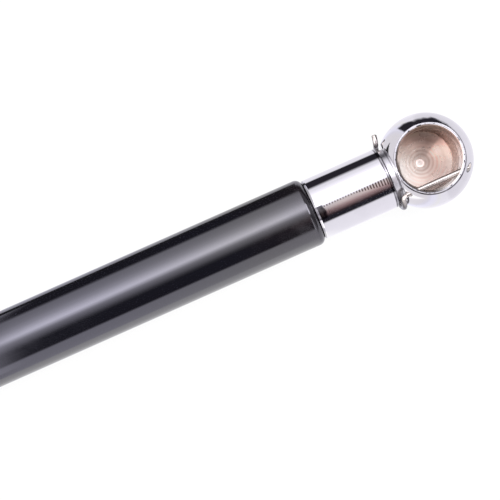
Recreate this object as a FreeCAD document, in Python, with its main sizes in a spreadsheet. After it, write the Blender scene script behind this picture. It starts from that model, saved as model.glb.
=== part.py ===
import FreeCAD
import Part
import math
import os
import Sketcher

# Gas strut for a tailgate.
# The origin is the centre of the ball that the tube's socket holds.
# +X runs along the strut towards the rod's end, +Z out of the sockets' mouths.
# All sizes are in millimetres.

document = FreeCAD.newDocument("gas_strut")
sheet = document.addObject("Spreadsheet::Sheet", "sizes")


# A number together with the spreadsheet expression that gives it
class Size:
    def __init__(self, value, text):
        self.value = float(value)
        self.text = text

    def __add__(self, other):
        other = as_size(other)
        return Size(self.value + other.value, f"({self.text} + {other.text})")

    def __sub__(self, other):
        other = as_size(other)
        return Size(self.value - other.value, f"({self.text} - {other.text})")

    def __mul__(self, other):
        other = as_size(other)
        return Size(self.value * other.value, f"({self.text} * {other.text})")

    def __truediv__(self, other):
        other = as_size(other)
        return Size(self.value / other.value, f"({self.text} / {other.text})")

    def __neg__(self):
        return Size(-self.value, f"(0 - {self.text})")


def as_size(item):
    if isinstance(item, Size):
        return item
    return Size(item, repr(float(item)))


# Length of the leg of a right triangle, and of its long side
def short_side(long_side, other_side):
    value = math.sqrt(long_side.value**2 - other_side.value**2)
    return Size(value, f"sqrt({long_side.text} ^ 2 - {other_side.text} ^ 2)")


def long_side(first, second):
    value = math.sqrt(first.value**2 + second.value**2)
    return Size(value, f"sqrt({first.text} ^ 2 + {second.text} ^ 2)")


# One row of the sheet: what the size is, its value and its alias
def size(alias, value, words):
    row = size.rows = getattr(size, "rows", 0) + 1
    sheet.set(f"A{row}", words)
    sheet.set(f"B{row}", str(value))
    sheet.setAlias(f"B{row}", alias)
    return Size(value, f"sizes.{alias}")


zero = as_size(0)
one = as_size(1)

# How far a cut runs past the piece that it cuts
cut_reach = one

# Pressure tube
tube_radius = size("tube_radius", 7.5, "outside radius of the tube")
tube_wall = size("tube_wall", 1.0, "wall of the tube")
tube_length = size("tube_length", 230.0, "length of the tube over its rolled ends")
roll_radius = size("roll_radius", 1.6, "outside radius of the rolled ends")
roll_cover = size("roll_cover", 2.3, "how far the rolled ends reach in from the outside")
bead_half = size("bead_half", 1.4, "half width of the bead that stops the guide pack")
bead_depth = size("bead_depth", 0.5, "depth of the bead")

# Ball socket, the same at both ends apart from its thread
ball_radius = size("ball_radius", 6.5, "radius of the ball that the socket takes")
ball_gap = size("ball_gap", 0.05, "running gap round the ball")
cone_slope = size("cone_slope", 0.6, "rise of the seat's cone per unit of radius")
pip_radius = size("pip_radius", 1.0, "radius of the drill pip in the cone")
pip_depth = size("pip_depth", 0.6, "depth of the pip under the cone")
head_wall = size("head_wall", 3.75, "wall of the head round the seat")
relief_step = size("relief_step", 0.35, "how much wider the mouth is than the seat")
mouth_bevel = size("mouth_bevel", 0.25, "bevel at the mouth's edge")
shank_radius = size("shank_radius", 6.75, "radius of the shank")
shank_bevel = size("shank_bevel", 0.5, "length of the shallow bevel at the shank's end")
shank_bevel_depth = size("shank_bevel_depth", 0.12, "depth of that bevel")
socket_reach = size("socket_reach", 26.4, "from the ball's centre to the shank's end")
neck_cut = size("neck_cut", 0.35, "how far the neck groove is cut into the head's foot")
neck_half = size("neck_half", 0.82, "half width of the neck groove")
neck_depth = size("neck_depth", 0.75, "depth of the neck groove")
thread_depth = size("thread_depth", 14.0, "depth of the threaded hole")
thread_gap = size("thread_gap", 0.1, "gap between a thread and its hole")

# Safety clip, bent from round wire
wire_radius = size("wire_radius", 0.55, "radius of the clip's wire")
clip_gap = size("clip_gap", 0.1, "gap round the wire in its holes and on the shank")
leg_height = size("leg_height", 5.5, "height of the leg over the ball's centre")
bend_radius = size("bend_radius", 1.2, "radius of the clip's bends along the middle of the wire")
mouth_lip = size("mouth_lip", 0.85, "metal between the leg's hole and the mouth's face")
seat_stop = size("seat_stop", 0.25, "from the top of the seat's wall to the leg's hole")
ear_length = size("ear_length", 0.85, "straight end of the clip's ear")
ear_lean = size("ear_lean", 13.0, "degrees that the ear leans over towards the head")
bow_end_angle = size("bow_end_angle", 168.0, "degrees from the +Y side round under the neck to the bow's end")

# Rod and piston
rod_radius = size("rod_radius", 3.0, "radius of the rod")
rod_bevel = size("rod_bevel", 0.4, "bevel at the rod's ends")
rod_gap = size("rod_gap", 0.04, "running gap between the rod and what guides it")
stroke_length = size("stroke_length", 180.0, "stroke of the rod")
closed_gap = size("closed_gap", 6.0, "gap between tube and rod socket when closed")
journal_radius = size("journal_radius", 2.2, "radius of the rod where it carries the piston")
journal_gap = size("journal_gap", 0.05, "gap between that end and the pieces on it")
piston_length = size("piston_length", 8.0, "length of the piston")
piston_gap = size("piston_gap", 0.25, "gap between piston and tube")
ring_width = size("ring_width", 2.0, "width of the piston ring")
ring_height = size("ring_height", 1.25, "height of the piston ring's section")
ring_gap = size("ring_gap", 0.06, "running gap between piston ring and tube")
ring_side_gap = size("ring_side_gap", 0.1, "gap on each side of the piston ring")
ring_floor_gap = size("ring_floor_gap", 0.3, "gap under the piston ring")
ring_split = size("ring_split", 0.8, "width of the split in the piston ring")
passage_radius = size("passage_radius", 0.5, "radius of the gas passages in the piston")
passage_circle = size("passage_circle", 3.3, "radius of the circle they lie on")
orifice_radius = size("orifice_radius", 0.3, "radius of the damping orifice")
washer_thickness = size("washer_thickness", 1.5, "thickness of the piston washer")
bead_gap = size("bead_gap", 0.6, "gap between the tube's bead and the washer and buffer under it")
disc_thickness = size("disc_thickness", 1.0, "thickness of the orifice disc")
disc_step = size("disc_step", 0.4, "how much smaller the orifice disc is than the washer")
nut_height = size("nut_height", 3.2, "height of the piston nut")
nut_corner = size("nut_corner", 4.0, "radius over the corners of the piston nut")
rod_tip = size("rod_tip", 0.5, "how far the rod stands out of the nut")
buffer_length = size("buffer_length", 3.0, "length of the rebound buffer")
buffer_bevel = size("buffer_bevel", 0.7, "bevel at the buffer's free edge")
buffer_gap = size("buffer_gap", 0.3, "gap between buffer and guide at full length")

# Guide and seal pack, from the rolled end inwards
slip_gap = size("slip_gap", 0.05, "gap between the tube and what sits in it")
closing_length = size("closing_length", 1.5, "thickness of the closing ring")
closing_gap = size("closing_gap", 0.3, "gap between closing ring and rod")
seal_length = size("seal_length", 4.5, "length of the rod seal")
lip_depth = size("lip_depth", 2.4, "depth of the groove behind the seal's lips")
support_length = size("support_length", 1.0, "thickness of the seal's support ring")
guide_length = size("guide_length", 8.0, "length of the guide bush")
oring_radius = size("oring_radius", 0.9, "radius of the O-rings' section")
oring_gap = size("oring_gap", 0.1, "gap on each side of an O-ring in its groove")

# End plug and its stud
plug_length = size("plug_length", 8.0, "length of the end plug inside the tube")
plug_wall = size("plug_wall", 0.55, "metal between the O-ring's groove and the stud")
stud_engaged = size("stud_engaged", 12.0, "how far a thread reaches into its socket")
stud_head_step = size("stud_head_step", 1.0, "how far the stud's riveted head stands out")
stud_head_length = size("stud_head_length", 1.5, "length of the stud's riveted head")
stud_bevel = size("stud_bevel", 0.6, "bevel at the stud's ends")
stud_gap = size("stud_gap", 0.05, "gap between stud and plug")

# Places along the strut
tube_start = socket_reach
tube_end = tube_start + tube_length
tube_bore = tube_radius - tube_wall
inner_radius = tube_bore - slip_gap
roll_mouth = tube_radius - roll_cover
roll_floor_radius = roll_radius - tube_wall
rod_end = tube_end + stroke_length + closed_gap + stud_engaged
rod_ball = tube_end + stroke_length + closed_gap + socket_reach

closing_end = tube_end - tube_wall
seal_end = closing_end - closing_length
support_end = seal_end - seal_length
guide_end = support_end - support_length
guide_start = guide_end - guide_length
bead_middle = guide_start - bead_half

buffer_end = guide_start - buffer_gap
washer_end = buffer_end - buffer_length
piston_end = washer_end - washer_thickness
piston_start = piston_end - piston_length
disc_start = piston_start - disc_thickness
nut_start = disc_start - nut_height
journal_start = nut_start - rod_tip
journal_hole = journal_radius + journal_gap
washer_radius = tube_bore - bead_depth - bead_gap
disc_radius = washer_radius - disc_step

plug_start = tube_start + tube_wall
plug_end = plug_start + plug_length
groove_floor = inner_radius - slip_gap - oring_radius * 2
stud_radius = groove_floor - plug_wall - stud_gap
stud_head_radius = stud_radius + stud_head_step

# Places on the ball socket and its clip, seen from the ball's centre
seat_radius = ball_radius + ball_gap
head_radius = seat_radius + head_wall
head_foot = short_side(head_radius, shank_radius)
neck_start = head_foot - neck_cut
neck_shoulder = short_side(head_radius, neck_start)
neck_middle = neck_start + neck_half
neck_end = neck_middle + neck_half
cone_apex = -seat_radius * long_side(one, cone_slope)
cone_top = cone_apex + seat_radius * cone_slope
pip_top = cone_apex + pip_radius * cone_slope
leg_hole_radius = wire_radius + clip_gap
seat_top = leg_height - leg_hole_radius - seat_stop
mouth_height = leg_height + leg_hole_radius + mouth_lip
mouth_radius = seat_radius + relief_step
bow_radius = shank_radius + clip_gap + wire_radius
leg_distance = long_side(bow_radius, bend_radius)
leg_side = short_side(leg_distance, leg_height)


# A stretch of an outline that is an arc about a centre, between the points before and after it
class Arc:
    def __init__(self, centre, radius):
        self.centre = centre
        self.radius = radius


def origin_plane(body, role):
    for feature in body.Origin.OriginFeatures:
        if feature.Role == role:
            return feature
    raise ValueError(role)


def new_body(name):
    body = document.addObject("PartDesign::Body", name)
    body.Label = name
    return body


def new_sketch(body, role):
    sketch = body.newObject("Sketcher::SketchObject", f"{body.Name}_sketch")
    sketch.AttachmentSupport = [(origin_plane(body, role), "")]
    sketch.MapMode = "FlatFace"
    return sketch


def bind(sketch, constraint, expression):
    index = sketch.addConstraint(constraint)
    sketch.setExpression(f"Constraints[{index}]", expression.text)


# Fixes one end of a piece of geometry at a point given by two sizes
def fix_point(sketch, geometry, end, point):
    across, up = point
    bind(sketch, Sketcher.Constraint("DistanceX", -1, 1, geometry, end, across.value), across)
    bind(sketch, Sketcher.Constraint("DistanceY", -1, 1, geometry, end, up.value), up)


def vector(point):
    return FreeCAD.Vector(point[0].value, point[1].value, 0)


# Draws a closed outline: points of two sizes each, with an Arc between two points where it is round
def draw_outline(sketch, outline):
    points = [item for item in outline if not isinstance(item, Arc)]
    arcs = {}
    for place, item in enumerate(outline):
        if isinstance(item, Arc):
            before = sum(not isinstance(other, Arc) for other in outline[:place]) - 1
            arcs[before] = item
    ends = []
    for place, point in enumerate(points):
        start = vector(point)
        stop = vector(points[(place + 1) % len(points)])
        arc = arcs.get(place)
        if arc is None:
            index = sketch.addGeometry(Part.LineSegment(start, stop), False)
            ends.append((index, 1, 2))
            continue
        middle = vector(arc.centre)
        circle = Part.Circle(middle, FreeCAD.Vector(0, 0, 1), arc.radius.value)
        first = math.atan2(start.y - middle.y, start.x - middle.x)
        last = math.atan2(stop.y - middle.y, stop.x - middle.x)
        turns_left = (last - first) % (2 * math.pi) <= math.pi
        if turns_left:
            index = sketch.addGeometry(Part.ArcOfCircle(circle, first, last), False)
            ends.append((index, 1, 2))
        else:
            index = sketch.addGeometry(Part.ArcOfCircle(circle, last, first), False)
            ends.append((index, 2, 1))
        bind(sketch, Sketcher.Constraint("Radius", index, arc.radius.value), arc.radius)
    for place, (index, first_end, last_end) in enumerate(ends):
        follower, follower_end, unused = ends[(place + 1) % len(ends)]
        joined = Sketcher.Constraint("Coincident", index, last_end, follower, follower_end)
        sketch.addConstraint(joined)
        fix_point(sketch, index, first_end, points[place])


# A piece turned about X from an outline of (along, radius) points
def turned(name, outline):
    body = new_body(name)
    sketch = new_sketch(body, "XY_Plane")
    draw_outline(sketch, outline)
    turning = body.newObject("PartDesign::Revolution", f"{name}_turning")
    turning.Profile = sketch
    turning.ReferenceAxis = (sketch, ["H_Axis"])
    turning.Angle = 360
    body.Tip = turning
    document.recompute()
    return body


def ring(name, start, end, bore, outside):
    outline = [(start, bore), (start, outside), (end, outside), (end, bore)]
    return turned(name, outline)


# Checks that a cut took something away
def check_cut(body, volume_before):
    document.recompute()
    if not body.Shape.Volume < volume_before - 1e-6:
        raise ValueError(f"{body.Label}: a cut removes nothing")


# Round hole along X through a body, at (side, height), over a length about the middle of the YZ plane
def cut_round_hole(body, name, point, radius, length, start=zero):
    volume_before = body.Shape.Volume
    sketch = new_sketch(body, "YZ_Plane")
    sketch.setExpression("AttachmentOffset.Base.z", start.text)
    centre = FreeCAD.Vector(point[0].value, point[1].value, 0)
    circle = Part.Circle(centre, FreeCAD.Vector(0, 0, 1), radius.value)
    index = sketch.addGeometry(circle, False)
    bind(sketch, Sketcher.Constraint("Radius", index, radius.value), radius)
    fix_point(sketch, index, 3, point)
    cut = body.newObject("PartDesign::Pocket", name)
    cut.Profile = sketch
    cut.Type = "Length"
    cut.Midplane = True
    cut.setExpression("Length", length.text)
    body.Tip = cut
    check_cut(body, volume_before)
    return cut


# Ball socket: a round head on a shank, with the seat, the mouth and the hole for the clip's leg
def ball_socket(name, thread_radius):
    shank_start = socket_reach - shank_bevel
    hole_radius = thread_radius + thread_gap
    hole_start = socket_reach - thread_depth
    hole_tip = hole_start - hole_radius * cone_slope
    neck_radius = shank_radius - neck_depth
    outline = [
        (-head_radius, zero),
        Arc((zero, zero), head_radius),
        (neck_start, neck_shoulder),
        (neck_start, neck_radius),
        (neck_end, neck_radius),
        (neck_end, shank_radius),
        (shank_start, shank_radius),
        (socket_reach, shank_radius - shank_bevel_depth),
        (socket_reach, hole_radius),
        (hole_start, hole_radius),
        (hole_tip, zero),
    ]
    body = turned(name, outline)

    volume_before = body.Shape.Volume
    clear = head_radius + cut_reach
    sketch = new_sketch(body, "XZ_Plane")
    seat_outline = [
        (zero, pip_top - pip_depth),
        (pip_radius, pip_top - pip_depth),
        (pip_radius, pip_top),
        (seat_radius, cone_top),
        (seat_radius, seat_top),
        (mouth_radius, seat_top + relief_step),
        (mouth_radius, mouth_height - mouth_bevel),
        (mouth_radius + mouth_bevel, mouth_height),
        (clear, mouth_height),
        (clear, clear),
        (zero, clear),
    ]
    draw_outline(sketch, seat_outline)
    seat = body.newObject("PartDesign::Groove", f"{name}_seat")
    seat.Profile = sketch
    seat.ReferenceAxis = (sketch, ["V_Axis"])
    seat.Angle = 360
    body.Tip = seat
    check_cut(body, volume_before)

    leg_place = (leg_side, leg_height)
    cut_round_hole(body, f"{name}_leg_hole", leg_place, leg_hole_radius, clear * 2)
    return body


# Safety clip: leg, bend, bow round the neck and ear, swept along lines and arcs
def safety_clip(name):
    along = FreeCAD.Vector(1, 0, 0)
    bow_plane = FreeCAD.Vector(neck_middle.value, 0, 0)
    bow = bow_radius.value
    bend = bend_radius.value

    def outward(angle):
        return FreeCAD.Vector(0, math.cos(angle), math.sin(angle))

    def forward(angle):
        return FreeCAD.Vector(0, math.sin(angle), -math.cos(angle))

    def on_bow(angle):
        return bow_plane + outward(angle) * bow

    leg_angle = math.atan2(leg_height.value, leg_side.value)
    first = leg_angle - math.atan2(bend, bow)
    last = -math.radians(bow_end_angle.value)
    leg_end = on_bow(first) - forward(first) * bend - along * bend
    head_at_leg = math.sqrt(head_radius.value**2 - leg_distance.value**2)
    leg_tip = FreeCAD.Vector(-head_at_leg, leg_end.y, leg_end.z)

    slant = math.sqrt(0.5)
    bend_middle = leg_end + forward(first) * bend * (1 - slant) + along * bend * slant
    lean = math.radians(ear_lean.value)
    ear_way = outward(last) * math.cos(lean) - along * math.sin(lean)
    ear_start = on_bow(last)
    ear_middle = ear_start + forward(last) * bend * slant + ear_way * bend * (1 - slant)
    ear_turned = ear_start + forward(last) * bend + ear_way * bend
    ear_tip = ear_turned + ear_way * ear_length.value

    path = Part.Wire([
        Part.LineSegment(leg_tip, leg_end).toShape(),
        Part.Arc(leg_end, bend_middle, on_bow(first)).toShape(),
        Part.Arc(on_bow(first), on_bow((first + last) / 2), ear_start).toShape(),
        Part.Arc(ear_start, ear_middle, ear_turned).toShape(),
        Part.LineSegment(ear_turned, ear_tip).toShape(),
    ])
    section = Part.Wire([Part.Circle(leg_tip, along, wire_radius.value).toShape()])
    shape = path.makePipeShell([section], True, False)

    expected = math.pi * wire_radius.value**2 * path.Length
    if abs(shape.Volume - expected) > 0.01 * expected:
        raise ValueError(f"{name}: the wire's volume is {shape.Volume}, not {expected}")
    clip = document.addObject("Part::Feature", name)
    clip.Label = name
    clip.Shape = shape
    return clip


# Turns a piece of the socket end about Z and puts it at the rod's end
def to_rod_end(piece):
    turned_about = FreeCAD.Rotation(FreeCAD.Vector(0, 0, 1), 180)
    piece.Placement = FreeCAD.Placement(FreeCAD.Vector(rod_ball.value, 0, 0), turned_about)
    piece.setExpression("Placement.Base.x", rod_ball.text)
    return piece


def pressure_tube():
    outside = tube_radius
    corner = tube_radius - roll_radius
    first_corner = (tube_start + roll_radius, corner)
    last_corner = (tube_end - roll_radius, corner)
    bead_start = bead_middle - bead_half
    bead_end = bead_middle + bead_half
    # the bead is an arc through its two edges and its lowest point
    bead_radius = (bead_half * bead_half + bead_depth * bead_depth) / (bead_depth * 2)
    outer_bead = (bead_middle, outside - bead_depth + bead_radius)
    inner_bead = (bead_middle, tube_bore - bead_depth + bead_radius)
    outline = [
        (tube_start, roll_mouth),
        (tube_start, corner),
        Arc(first_corner, roll_radius),
        (tube_start + roll_radius, outside),
        (bead_start, outside),
        Arc(outer_bead, bead_radius),
        (bead_end, outside),
        (tube_end - roll_radius, outside),
        Arc(last_corner, roll_radius),
        (tube_end, corner),
        (tube_end, roll_mouth),
        (tube_end - tube_wall, roll_mouth),
        (tube_end - tube_wall, corner),
        Arc(last_corner, roll_floor_radius),
        (tube_end - roll_radius, tube_bore),
        (bead_end, tube_bore),
        Arc(inner_bead, bead_radius),
        (bead_start, tube_bore),
        (tube_start + roll_radius, tube_bore),
        Arc(first_corner, roll_floor_radius),
        (tube_start + tube_wall, corner),
        (tube_start + tube_wall, roll_mouth),
    ]
    return turned("pressure_tube", outline)


# Groove for an O-ring, and the ring in it, both from the same middle
def oring_groove(middle):
    half = oring_radius + oring_gap
    return [
        (middle - half, inner_radius),
        (middle - half, groove_floor),
        (middle + half, groove_floor),
        (middle + half, inner_radius),
    ]


def oring(name, middle):
    torus = document.addObject("Part::Torus", name)
    torus.Label = name
    torus.setExpression("Radius1", (inner_radius - oring_radius).text)
    torus.setExpression("Radius2", oring_radius.text)
    torus.Placement = FreeCAD.Placement(
        FreeCAD.Vector(middle.value, 0, 0),
        FreeCAD.Rotation(FreeCAD.Vector(0, 1, 0), 90),
    )
    torus.setExpression("Placement.Base.x", middle.text)
    return torus


def end_plug():
    edge = roll_floor_radius + slip_gap
    boss = roll_mouth - slip_gap
    bore = stud_radius + stud_gap
    outline = [
        (tube_start, bore),
        (tube_start, boss),
        (plug_start, boss),
        (plug_start, inner_radius - edge),
        (plug_start + edge, inner_radius),
    ]
    outline += oring_groove((plug_start + plug_end + edge) / 2)
    outline += [(plug_end, inner_radius), (plug_end, bore)]
    return turned("end_plug", outline)


def tube_stud():
    tip = tube_start - stud_engaged
    outline = [
        (tip, zero),
        (tip, stud_radius - stud_bevel),
        (tip + stud_bevel, stud_radius),
        (plug_end, stud_radius),
        (plug_end, stud_head_radius),
        (plug_end + stud_head_length, stud_head_radius - stud_bevel),
        (plug_end + stud_head_length, zero),
    ]
    return turned("tube_stud", outline)


def guide_bush():
    bore = rod_radius + rod_gap
    outline = [(guide_start, bore), (guide_start, inner_radius)]
    outline += oring_groove((guide_start + guide_end) / 2)
    outline += [(guide_end, inner_radius), (guide_end, bore)]
    return turned("guide_bush", outline)


# The seal has two lips that face the gas, one on the rod and one on the tube
def rod_seal():
    bore = rod_radius + rod_gap
    middle = (bore + inner_radius) / 2
    half = (inner_radius - bore) / 6
    outline = [
        (support_end, bore),
        (support_end, middle - half),
        (support_end + lip_depth, middle),
        (support_end, middle + half),
        (support_end, inner_radius),
        (seal_end, inner_radius),
        (seal_end, bore),
    ]
    return turned("rod_seal", outline)


# The closing ring's outer edge follows the inside of the rolled end
def closing_ring():
    bore = rod_radius + closing_gap
    edge = roll_floor_radius + slip_gap
    boss = roll_mouth - slip_gap
    outline = [
        (seal_end, bore),
        (seal_end, inner_radius),
        (closing_end - edge, inner_radius),
        (closing_end, inner_radius - edge),
        (closing_end, boss),
        (tube_end, boss),
        (tube_end, bore),
    ]
    return turned("closing_ring", outline)


def piston_rod():
    outline = [
        (journal_start, zero),
        (journal_start, journal_radius - rod_bevel),
        (journal_start + rod_bevel, journal_radius),
        (washer_end, journal_radius),
        (washer_end, rod_radius),
        (rod_end - rod_bevel, rod_radius),
        (rod_end, rod_radius - rod_bevel),
        (rod_end, zero),
    ]
    return turned("piston_rod", outline)


def piston():
    outside = tube_bore - piston_gap
    middle = (piston_start + piston_end) / 2
    half = ring_width / 2 + ring_side_gap
    floor = tube_bore - ring_gap - ring_height - ring_floor_gap
    outline = [
        (piston_start, journal_hole),
        (piston_start, outside),
        (middle - half, outside),
        (middle - half, floor),
        (middle + half, floor),
        (middle + half, outside),
        (piston_end, outside),
        (piston_end, journal_hole),
    ]
    body = turned("piston", outline)
    place = (zero, passage_circle)
    reach = piston_length + cut_reach * 2
    hole = cut_round_hole(body, "piston_passage", place, passage_radius, reach, middle)
    volume_before = body.Shape.Volume
    pattern = body.newObject("PartDesign::PolarPattern", "piston_passages")
    pattern.Originals = [hole]
    pattern.Axis = (origin_plane(body, "X_Axis"), [""])
    pattern.Angle = 360
    pattern.Occurrences = 3
    body.Tip = pattern
    check_cut(body, volume_before)
    return body


def piston_ring():
    middle = (piston_start + piston_end) / 2
    outside = tube_bore - ring_gap
    half = ring_width / 2
    body = ring("piston_ring", middle - half, middle + half, outside - ring_height, outside)
    volume_before = body.Shape.Volume
    sketch = new_sketch(body, "XY_Plane")
    slit = ring_split / 2
    reach = half + cut_reach
    outline = [
        (middle - reach, -slit),
        (middle + reach, -slit),
        (middle + reach, slit),
        (middle - reach, slit),
    ]
    draw_outline(sketch, outline)
    split = body.newObject("PartDesign::Pocket", "piston_ring_split")
    split.Profile = sketch
    split.Type = "Length"
    split.Reversed = True
    split.setExpression("Length", tube_radius.text)
    body.Tip = split
    check_cut(body, volume_before)
    return body


def orifice_disc():
    body = ring("orifice_disc", disc_start, piston_start, journal_hole, disc_radius)
    middle = (disc_start + piston_start) / 2
    reach = disc_thickness + cut_reach * 2
    place = (zero, passage_circle)
    cut_round_hole(body, "orifice", place, orifice_radius, reach, middle)
    return body


def piston_nut():
    prism = document.addObject("Part::Prism", "piston_nut_hexagon")
    prism.Polygon = 6
    prism.setExpression("Circumradius", nut_corner.text)
    prism.setExpression("Height", nut_height.text)
    hole = document.addObject("Part::Cylinder", "piston_nut_hole")
    hole.setExpression("Radius", journal_hole.text)
    hole.setExpression("Height", nut_height.text)
    nut = document.addObject("Part::Cut", "piston_nut")
    nut.Label = "piston_nut"
    nut.Base = prism
    nut.Tool = hole
    nut.Placement = FreeCAD.Placement(
        FreeCAD.Vector(nut_start.value, 0, 0),
        FreeCAD.Rotation(FreeCAD.Vector(0, 1, 0), 90),
    )
    nut.setExpression("Placement.Base.x", nut_start.text)
    return nut


# The buffer's free edge is rounded off by a bevel
def rebound_buffer():
    bore = rod_radius + journal_gap
    outline = [
        (washer_end, bore),
        (washer_end, washer_radius),
        (buffer_end - buffer_bevel, washer_radius),
        (buffer_end, washer_radius - buffer_bevel),
        (buffer_end, bore),
    ]
    return turned("rebound_buffer", outline)


pieces = [
    pressure_tube(),
    ball_socket("tube_socket", stud_radius),
    safety_clip("tube_clip"),
    end_plug(),
    oring("end_plug_oring", (plug_start + plug_end + roll_floor_radius + slip_gap) / 2),
    tube_stud(),
    guide_bush(),
    oring("guide_oring", (guide_start + guide_end) / 2),
    ring("seal_support_ring", guide_end, support_end, rod_radius + closing_gap, inner_radius),
    rod_seal(),
    closing_ring(),
    piston_rod(),
    piston(),
    piston_ring(),
    orifice_disc(),
    ring("piston_washer", piston_end, washer_end, journal_hole, washer_radius),
    piston_nut(),
    rebound_buffer(),
    to_rod_end(ball_socket("rod_socket", rod_radius)),
    to_rod_end(safety_clip("rod_clip")),
]
document.recompute()

for item in document.Objects:
    if "Invalid" in item.State or "Error" in item.State:
        raise ValueError(f"{item.Label} failed: {item.State}")

os.makedirs("parts", exist_ok=True)
for piece in pieces:
    shape = piece.Shape
    if shape.isNull() or not shape.isValid() or len(shape.Solids) != 1:
        raise ValueError(f"{piece.Label} isn't one valid solid")
    shape.exportStep(f"parts/{piece.Label}.step")
    print(f"{piece.Label}: {shape.Volume:.1f} cubic mm")
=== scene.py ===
import math
import bpy
import bmesh
from mathutils import Matrix, Vector


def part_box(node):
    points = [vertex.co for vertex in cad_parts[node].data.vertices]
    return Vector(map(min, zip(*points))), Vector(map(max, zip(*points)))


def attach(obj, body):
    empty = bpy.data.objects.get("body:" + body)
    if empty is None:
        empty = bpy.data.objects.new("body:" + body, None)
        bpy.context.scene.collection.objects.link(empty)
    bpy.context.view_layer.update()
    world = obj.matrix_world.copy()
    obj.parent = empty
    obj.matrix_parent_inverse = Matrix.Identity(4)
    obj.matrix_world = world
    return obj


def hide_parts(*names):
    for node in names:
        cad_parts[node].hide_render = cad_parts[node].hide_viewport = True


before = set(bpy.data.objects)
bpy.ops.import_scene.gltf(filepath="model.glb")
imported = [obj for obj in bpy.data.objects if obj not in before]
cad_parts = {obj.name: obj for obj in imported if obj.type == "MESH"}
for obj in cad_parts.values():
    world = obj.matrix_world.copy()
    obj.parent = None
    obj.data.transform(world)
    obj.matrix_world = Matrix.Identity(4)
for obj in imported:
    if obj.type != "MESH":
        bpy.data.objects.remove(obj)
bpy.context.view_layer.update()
scene = bpy.context.scene
scene.view_settings.view_transform = "Standard"
mm = 0.001
print("frame loaded:", len(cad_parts), "nodes")

# Camera close above the strut, with the head of the tube's socket at the given pixel
camera = {
    "toward": (0.004, -0.006, 1.0),  # from the ball's centre to the camera's plane
    "distance": 0.27,
    "lens": 90.4,
    "sensor": 36,
    "clip": (0.01, 60),
    "turn": 23.93,  # degrees that the strut is turned in the picture
    "headPixel": (425.2, 160.5),
    "frameSize": 500,
}


def placeCamera(settings):
    back = Vector(settings["toward"]).normalized()
    along = Vector((1, 0, 0))
    level = (along - back * along.dot(back)).normalized()
    across = back.cross(level)
    angle = math.radians(180 + settings["turn"])
    right = level * math.cos(angle) - across * math.sin(angle)
    up = level * math.sin(angle) + across * math.cos(angle)
    half = settings["frameSize"] / 2
    perPixel = settings["distance"] / (settings["lens"] / settings["sensor"] * settings["frameSize"])
    px, py = settings["headPixel"]
    place = back * settings["distance"] - right * (px - half) * perPixel - up * (half - py) * perPixel
    data = bpy.data.cameras.new("camera")
    data.lens = settings["lens"]
    data.sensor_width = settings["sensor"]
    data.clip_start, data.clip_end = settings["clip"]
    made = bpy.data.objects.new("camera", data)
    scene.collection.objects.link(made)
    columns = (right, up, back, place)
    made.matrix_world = Matrix([[column[row] for column in columns] for row in range(3)] + [[0, 0, 0, 1]])
    scene.camera = made


placeCamera(camera)
print("camera placed")


# Short ways to write node trees: each returns the socket that carries its result
def addNode(tree, kind, inputs=None, **settings):
    made = tree.nodes.new("ShaderNode" + kind)
    for name, value in settings.items():
        setattr(made, name, value)
    for name, value in (inputs or {}).items():
        if isinstance(value, bpy.types.NodeSocket):
            tree.links.new(value, made.inputs[name])
        else:
            made.inputs[name].default_value = value
    return made


def maths(tree, operation, *values):
    # products, sums and the greatest take any number of values
    while operation in ("MULTIPLY", "ADD", "MAXIMUM") and len(values) > 2:
        values = (maths(tree, operation, *values[:2]), *values[2:])
    return addNode(tree, "Math", dict(enumerate(values)), operation=operation).outputs[0]


def product(tree, *values):
    return maths(tree, "MULTIPLY", *values)


def greatest(tree, *values):
    return maths(tree, "MAXIMUM", *values)


def above(tree, value, limit):
    return maths(tree, "GREATER_THAN", value, limit)


def below(tree, value, limit):
    return maths(tree, "LESS_THAN", value, limit)


def blend(tree, first, share, second):
    # the share is of the first
    return maths(tree, "MULTIPLY_ADD", first, share, product(tree, second, 1 - share))


def remap(tree, value, low, high, start=0.0, end=1.0, kind="LINEAR"):
    # from start at low to end at high, and level beyond them
    inputs = {"Value": value, "From Min": low, "From Max": high, "To Min": start, "To Max": end}
    return addNode(tree, "MapRange", inputs, interpolation_type=kind).outputs[0]


def band(tree, value, low, high, soft):
    # one from low to high and nothing beyond, eased over soft to each side of both
    rise = remap(tree, value, low - soft, low + soft, kind="SMOOTHSTEP")
    fall = remap(tree, value, high + soft, high - soft, kind="SMOOTHSTEP")
    return product(tree, rise, fall)


def noise(tree, place, scale, detail=2.0, roughness=0.5):
    inputs = {"Vector": place, "Scale": scale, "Detail": detail, "Roughness": roughness}
    return addNode(tree, "TexNoise", inputs).outputs[0]


def split(tree, place):
    return addNode(tree, "SeparateXYZ", {0: place}).outputs


def fromAxis(tree, first, second):
    # distance from an axis, from the two coordinates across it
    flat = addNode(tree, "CombineXYZ", {0: first, 1: second}).outputs[0]
    return addNode(tree, "VectorMath", {0: flat}, operation="LENGTH").outputs["Value"]


def towardsSide(tree, x, y, side):
    # how far a place lies towards a side of the mouth, which is given in X and Y
    return maths(tree, "MULTIPLY_ADD", x, side[0], product(tree, y, side[1]))


def degreesRound(tree, across, along):
    return product(tree, maths(tree, "ARCTAN2", across, along), 180 / math.pi)


def grey(value):
    return (value, value, value, 1)


def solid(colour):
    return (*colour, 1)


def mixColours(tree, share, first, second, kind="MIX"):
    made = addNode(tree, "Mix", {0: share, 6: first, 7: second}, data_type="RGBA", blend_type=kind)
    return made.outputs[2]


def tinted(tree, colour, tint):
    return mixColours(tree, 1.0, colour, tint, "MULTIPLY")


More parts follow.
